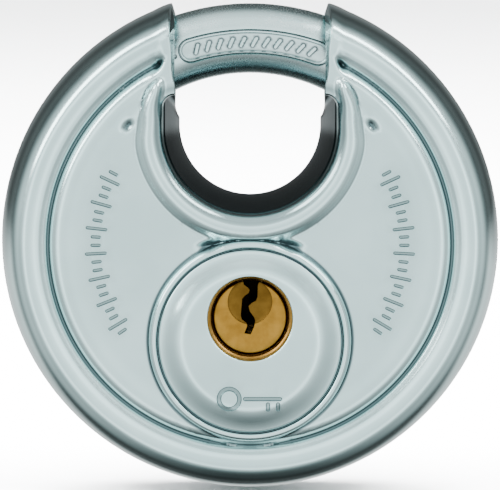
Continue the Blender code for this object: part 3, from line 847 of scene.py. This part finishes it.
class Nodes:
    """A node material under construction, with short calls for the nodes used here."""

    def __init__(self, name):
        self.material = bpy.data.materials.new(name)
        self.material.use_nodes = True
        self.tree = self.material.node_tree
        self.shader = self.tree.nodes["Principled BSDF"]
        self.place = self.add("ShaderNodeTexCoord").outputs["Object"]

    def add(self, kind, links=None, **values):
        node = self.tree.nodes.new(kind)
        for key, value in values.items():
            setattr(node, key, value)
        for key, value in (links or {}).items():
            self.set(node.inputs[key], value)
        return node

    def set(self, socket, value):
        if isinstance(value, bpy.types.NodeSocket):
            self.tree.links.new(value, socket)
        else:
            socket.default_value = value

    def noise(self, scale, detail=4.0, roughness=0.55, stretch=(1, 1, 1), distortion=0.0):
        """Noise with features about 1 / scale metres across, closer together where it is stretched."""
        mapped = self.add("ShaderNodeMapping", {"Vector": self.place, "Scale": stretch}).outputs["Vector"]
        links = {"Vector": mapped, "Scale": scale, "Detail": detail, "Roughness": roughness,
                 "Distortion": distortion}
        return self.add("ShaderNodeTexNoise", links).outputs["Fac"]

    def spread(self, value, low, high, first, last):
        """The value's range from low to high, stretched to run from first to last."""
        links = {"Value": value, "From Min": low, "From Max": high, "To Min": first, "To Max": last}
        return self.add("ShaderNodeMapRange", links).outputs["Result"]

    def blend(self, share, first, last):
        node = self.add("ShaderNodeMix", data_type="RGBA")
        self.set(node.inputs[0], share)
        self.set(node.inputs[6], first)
        self.set(node.inputs[7], last)
        return node.outputs[2]

    def maths(self, operation, first, second=0.0):
        return self.add("ShaderNodeMath", {0: first, 1: second}, operation=operation).outputs[0]

    def with_painted_shade(self, colour, dark):
        """The colour, darkened towards the dark colour by the painted shade in the mesh's crease value."""
        crease = self.add("ShaderNodeAttribute", attribute_name="crease").outputs["Fac"]
        return self.blend(crease, colour, dark)

    def bump(self, height, distance, strength=1.0, below=None):
        links = {"Height": height, "Distance": distance, "Strength": strength}
        if below is not None:
            links["Normal"] = below
        return self.add("ShaderNodeBump", links).outputs["Normal"]


def shell_steel():
    """Satin polished stainless steel: fine even grain, faint polishing lines and soft clouding, darkened by the
    painted shade in the mesh's crease value.
    """
    m = Nodes("shell_steel")
    cloud = m.noise(90, 3)
    grain = m.noise(5200, 3, 0.6)
    lines = m.noise(2600, 2, 0.6, stretch=(1, 1, 9))
    tone = m.blend(m.spread(cloud, 0.35, 0.65, 0, 1), (0.52, 0.70, 0.70, 1), (0.59, 0.77, 0.77, 1))
    m.set(m.shader.inputs["Base Color"], m.with_painted_shade(tone, (0.03, 0.06, 0.068, 1)))
    m.shader.inputs["Metallic"].default_value = 1.0
    rough = m.maths("ADD", m.spread(cloud, 0.3, 0.7, 0.16, 0.22), m.spread(grain, 0.3, 0.7, -0.03, 0.03))
    m.set(m.shader.inputs["Roughness"], rough)
    wave = m.bump(m.noise(55, 2), 0.0004, 0.35)
    fine = m.bump(grain, 0.000004, 0.5, wave)
    m.set(m.shader.inputs["Normal"], m.bump(lines, 0.000004, 0.4, fine))
    return m.material


def shackle_steel():
    """Plated hardened steel: smooth, and a little duller than the shells, darkened by the painted shade in the
    mesh's crease value.
    """
    m = Nodes("shackle_steel")
    cloud = m.noise(160, 3)
    grain = m.noise(3800, 4, 0.65)
    tone = m.blend(m.spread(cloud, 0.35, 0.65, 0, 1), (0.57, 0.74, 0.74, 1), (0.65, 0.81, 0.81, 1))
    m.set(m.shader.inputs["Base Color"], m.with_painted_shade(tone, (0.09, 0.11, 0.12, 1)))
    m.shader.inputs["Metallic"].default_value = 1.0
    rough = m.maths("ADD", m.spread(cloud, 0.3, 0.7, 0.24, 0.3), m.spread(grain, 0.3, 0.7, -0.04, 0.04))
    m.set(m.shader.inputs["Roughness"], rough)
    m.set(m.shader.inputs["Normal"], m.bump(grain, 0.0000018, 0.5))
    return m.material


def brass(name, dark, light, shade_from=None):
    """Machined brass, darkened a little by air. Given a depth, painted shade deepens to near black behind it, in
    the plug's spotface and keyway.
    """
    m = Nodes(name)
    cloud = m.noise(500, 4)
    grain = m.noise(6000, 3, 0.6)
    tone = m.blend(m.spread(cloud, 0.35, 0.65, 0, 1), dark, light)
    if shade_from is not None:
        # Painted shade: near black deeper than the plug's face, in the spotface and the keyway
        depth = m.add("ShaderNodeSeparateXYZ", {"Vector": m.place}).outputs["Y"]
        recess_shade = m.spread(depth, shade_from * MM, (shade_from + RECESS_SHADE_DEPTH) * MM, 0, 1)
        recess_shade = m.maths("POWER", recess_shade, 0.25)
        tone = m.blend(recess_shade, tone, (0.008, 0.005, 0.002, 1))
    m.set(m.shader.inputs["Base Color"], tone)
    m.shader.inputs["Metallic"].default_value = 1.0
    m.set(m.shader.inputs["Roughness"], m.spread(grain, 0.3, 0.7, 0.3, 0.42))
    m.set(m.shader.inputs["Normal"], m.bump(grain, 0.000006, 0.6))
    return m.material


def steel(name, dark, light, roughness, lined=False):
    """Inner steel parts: clouded tone, fine grain, and for turned pieces faint lines round them."""
    m = Nodes(name)
    cloud = m.noise(350, 4)
    grain = m.noise(5000, 3, 0.6)
    m.set(m.shader.inputs["Base Color"], m.blend(m.spread(cloud, 0.35, 0.65, 0, 1), dark, light))
    m.shader.inputs["Metallic"].default_value = 1.0
    m.set(m.shader.inputs["Roughness"], m.spread(cloud, 0.3, 0.7, roughness - 0.06, roughness + 0.08))
    normal = m.bump(grain, 0.000008, 0.6)
    if lined:
        normal = m.bump(m.noise(3000, 2, 0.5, stretch=(1, 8, 1)), 0.00001, 0.5, normal)
    m.set(m.shader.inputs["Normal"], normal)
    return m.material


def cast_zinc():
    """Die-cast alloy: grey, matt, with a pebbled skin and flow marks."""
    m = Nodes("cast_zinc")
    flow = m.noise(120, 5, 0.6, distortion=1.5)
    pebble = m.noise(2200, 3, 0.6)
    m.set(m.shader.inputs["Base Color"], m.blend(m.spread(flow, 0.35, 0.65, 0, 1), (0.36, 0.37, 0.39, 1),
                                                 (0.5, 0.51, 0.53, 1)))
    m.shader.inputs["Metallic"].default_value = 0.9
    m.set(m.shader.inputs["Roughness"], m.spread(pebble, 0.3, 0.7, 0.42, 0.58))
    m.set(m.shader.inputs["Normal"], m.bump(pebble, 0.00003, 0.7))
    return m.material


def black_polymer():
    """Moulded wear strips: black, with a faint sheen and a rubbed tone."""
    m = Nodes("black_polymer")
    rub = m.noise(300, 4)
    grain = m.noise(3500, 2)
    m.set(m.shader.inputs["Base Color"], m.blend(m.spread(rub, 0.35, 0.65, 0, 1), (0.012, 0.012, 0.014, 1),
                                                 (0.03, 0.03, 0.033, 1)))
    m.set(m.shader.inputs["Roughness"], m.spread(rub, 0.3, 0.7, 0.45, 0.62))
    m.set(m.shader.inputs["Normal"], m.bump(grain, 0.00002, 0.6))
    return m.material


def dress_nodes():
    """Gives every CAD piece that still shows its own finish, by its material slot in the record."""
    finishes = {
        "cylinder": brass("cover_brass", (0.25, 0.125, 0.025, 1), (0.36, 0.2, 0.05, 1)),
        "tumbler": brass("pin_brass", (0.42, 0.25, 0.07, 1), (0.55, 0.36, 0.13, 1)),
        "hardened": steel("turned_steel", (0.40, 0.41, 0.43, 1), (0.55, 0.56, 0.58, 1), 0.28, lined=True),
        "drive": steel("oiled_dark_steel", (0.12, 0.12, 0.125, 1), (0.2, 0.2, 0.21, 1), 0.38),
        "chassis": cast_zinc(),
        "guide": black_polymer(),
    }
    for subpart in frame["record"]["subparts"]:
        finish = finishes.get(subpart["material_slot"])
        if finish is None:
            continue
        for slot in frame["nodes"][subpart["node"]].material_slots:
            slot.material = finish


def look_at(thing, target):
    direction = Vector(target) - thing.location
    thing.rotation_mode = "QUATERNION"
    thing.rotation_quaternion = direction.to_track_quat("-Z", "Y")


def from_centre(azimuth, elevation, distance):
    """A place at a distance from the disc's middle, seen at an azimuth (0 is the front) and elevation."""
    a, e = math.radians(azimuth), math.radians(elevation)
    away = Vector((math.sin(a) * math.cos(e), -math.cos(a) * math.cos(e), math.sin(e)))
    return CENTRE + away * distance


def make_camera():
    camera = bpy.data.objects.new("camera", bpy.data.cameras.new("camera"))
    bpy.context.collection.objects.link(camera)
    camera.data.sensor_width = 36
    camera.data.lens = 357
    camera.data.clip_start = 0.05
    camera.location = from_centre(0, 5.5, 0.7)
    look_at(camera, CENTRE - Vector((0, 0, 0.00085)))
    bpy.context.scene.camera = camera


def panel_light(name, azimuth, elevation, distance, width, height, watts, paper_only=False):
    """A soft panel that faces the lock, or one for the paper alone, which polished metal doesn't reflect."""
    data = bpy.data.lights.new(name, "AREA")
    data.shape = "RECTANGLE"
    data.size, data.size_y = width, height
    data.energy = watts
    light = bpy.data.objects.new(name, data)
    light.location = from_centre(azimuth, elevation, distance)
    look_at(light, CENTRE)
    light.visible_glossy = not paper_only
    bpy.context.collection.objects.link(light)


def make_stage():
    """A round pale floor that turns up into a wall all round, and soft panels of light.

    Polished metal reflects the tent of light and the panels, and not the pale paper near it.
    """
    floor_z = cad_bounds[0][2] - 0.0004
    section = [(0.02, 0), (0.2, 0), (0.6, 0), (1.4, 0)]
    section += [(1.4 + 0.4 * math.sin(a), 0.4 - 0.4 * math.cos(a)) for a in np.radians(range(10, 91, 10))]
    section += [(1.8, 1.2), (1.8, 2.0)]
    segments = 64
    vertices = [(r * math.sin(a), r * math.cos(a), floor_z + z) for r, z in section
                for a in np.linspace(0, math.tau, segments, endpoint=False)]
    rows = [list(range(i * segments, (i + 1) * segments)) for i in range(len(section))]
    sweep = finish_mesh("floor_sweep", vertices, connect(rows, closed=True) + [tuple(rows[0])])
    sweep.visible_glossy = False
    m = Nodes("pale_floor")
    tone = m.noise(40, 3)
    m.set(m.shader.inputs["Base Color"], m.blend(tone, (0.86, 0.865, 0.87, 1), (0.90, 0.905, 0.91, 1)))
    m.shader.inputs["Roughness"].default_value = 0.7
    sweep.data.materials.append(m.material)

    make_studio()
    panel_light("left_panel", -60, 35, 1.0, 0.3, 0.8, 8)
    panel_light("right_panel", 62, 45, 1.0, 0.22, 0.7, 6)
    panel_light("top_panel", 0, 62, 1.0, 0.9, 0.5, 1)
    for azimuth in (60, 180, 300):
        panel_light(f"paper_light_{azimuth}", azimuth, 62, 0.95, 0.7, 0.7, 75, paper_only=True)


def make_studio():
    """The tent of soft light: brightest before the lock, with a low glow behind it, and dark below."""
    world = bpy.data.worlds.new("studio")
    bpy.context.scene.world = world
    world.use_nodes = True
    tree = world.node_tree
    axes = tree.nodes.new("ShaderNodeSeparateXYZ")
    tree.links.new(tree.nodes.new("ShaderNodeTexCoord").outputs["Generated"], axes.inputs["Vector"])

    def maths(operation, first, second):
        node = tree.nodes.new("ShaderNodeMath")
        node.operation = operation
        for socket, value in zip(node.inputs, (first, second)):
            if isinstance(value, bpy.types.NodeSocket):
                tree.links.new(value, socket)
            else:
                socket.default_value = value
        return node.outputs[0]

    def ramp(axis, stops):
        """A level that changes with the direction's part along an axis, from -1 to 1."""
        node = tree.nodes.new("ShaderNodeValToRGB")
        elements = node.color_ramp.elements
        while len(elements) < len(stops):
            elements.new(0.5)
        for element, (position, level) in zip(elements, stops):
            element.position = (position + 1) / 2
            element.color = (level, level, level, 1)
        share = maths("ADD", maths("MULTIPLY", axes.outputs[axis], 0.5), 0.5)
        tree.links.new(share, node.inputs["Fac"])
        return node.outputs["Color"]

    tent = ramp("Y", ((-1, 2.4), (-0.95, 2.6), (-0.88, 4.4), (-0.8, 3.0), (-0.65, 1.5), (-0.4, 1.2),
                      (-0.1, 1.5), (0.15, 1.1), (0.35, 0.4), (0.5, 0.12), (0.68, 0.22), (0.84, 0.1),
                      (1, 0.45)))
    behind = ramp("Y", ((-1, 0), (0.35, 0), (0.6, 1), (1, 1)))
    low = ramp("Z", ((-0.6, 0), (-0.42, 1), (-0.15, 1), (-0.02, 0)))
    height = ramp("Z", ((-1, 0.05), (-0.92, 0.14), (-0.78, 0.4), (-0.5, 0.62), (0.1, 0.83), (0.3, 0.8),
                        (0.5, 0.7), (0.75, 0.78), (1, 1.05)))
    glow = maths("MULTIPLY", maths("MULTIPLY", behind, low), 1.7)
    background = tree.nodes["Background"]
    tint = tree.nodes.new("ShaderNodeMix")
    tint.data_type = "RGBA"
    tint.inputs[6].default_value, tint.inputs[7].default_value = (0.93, 1, 1.01, 1), (0.98, 1, 1, 1)
    tree.links.new(behind, tint.inputs[0])
    tree.links.new(tint.outputs[2], background.inputs["Color"])
    strength = maths("MULTIPLY", maths("ADD", tent, glow), height)
    tree.links.new(strength, background.inputs["Strength"])


make_camera()
make_stage()
make_shells()
make_shackle()
make_plug()
make_cylinder_body()
dress_nodes()
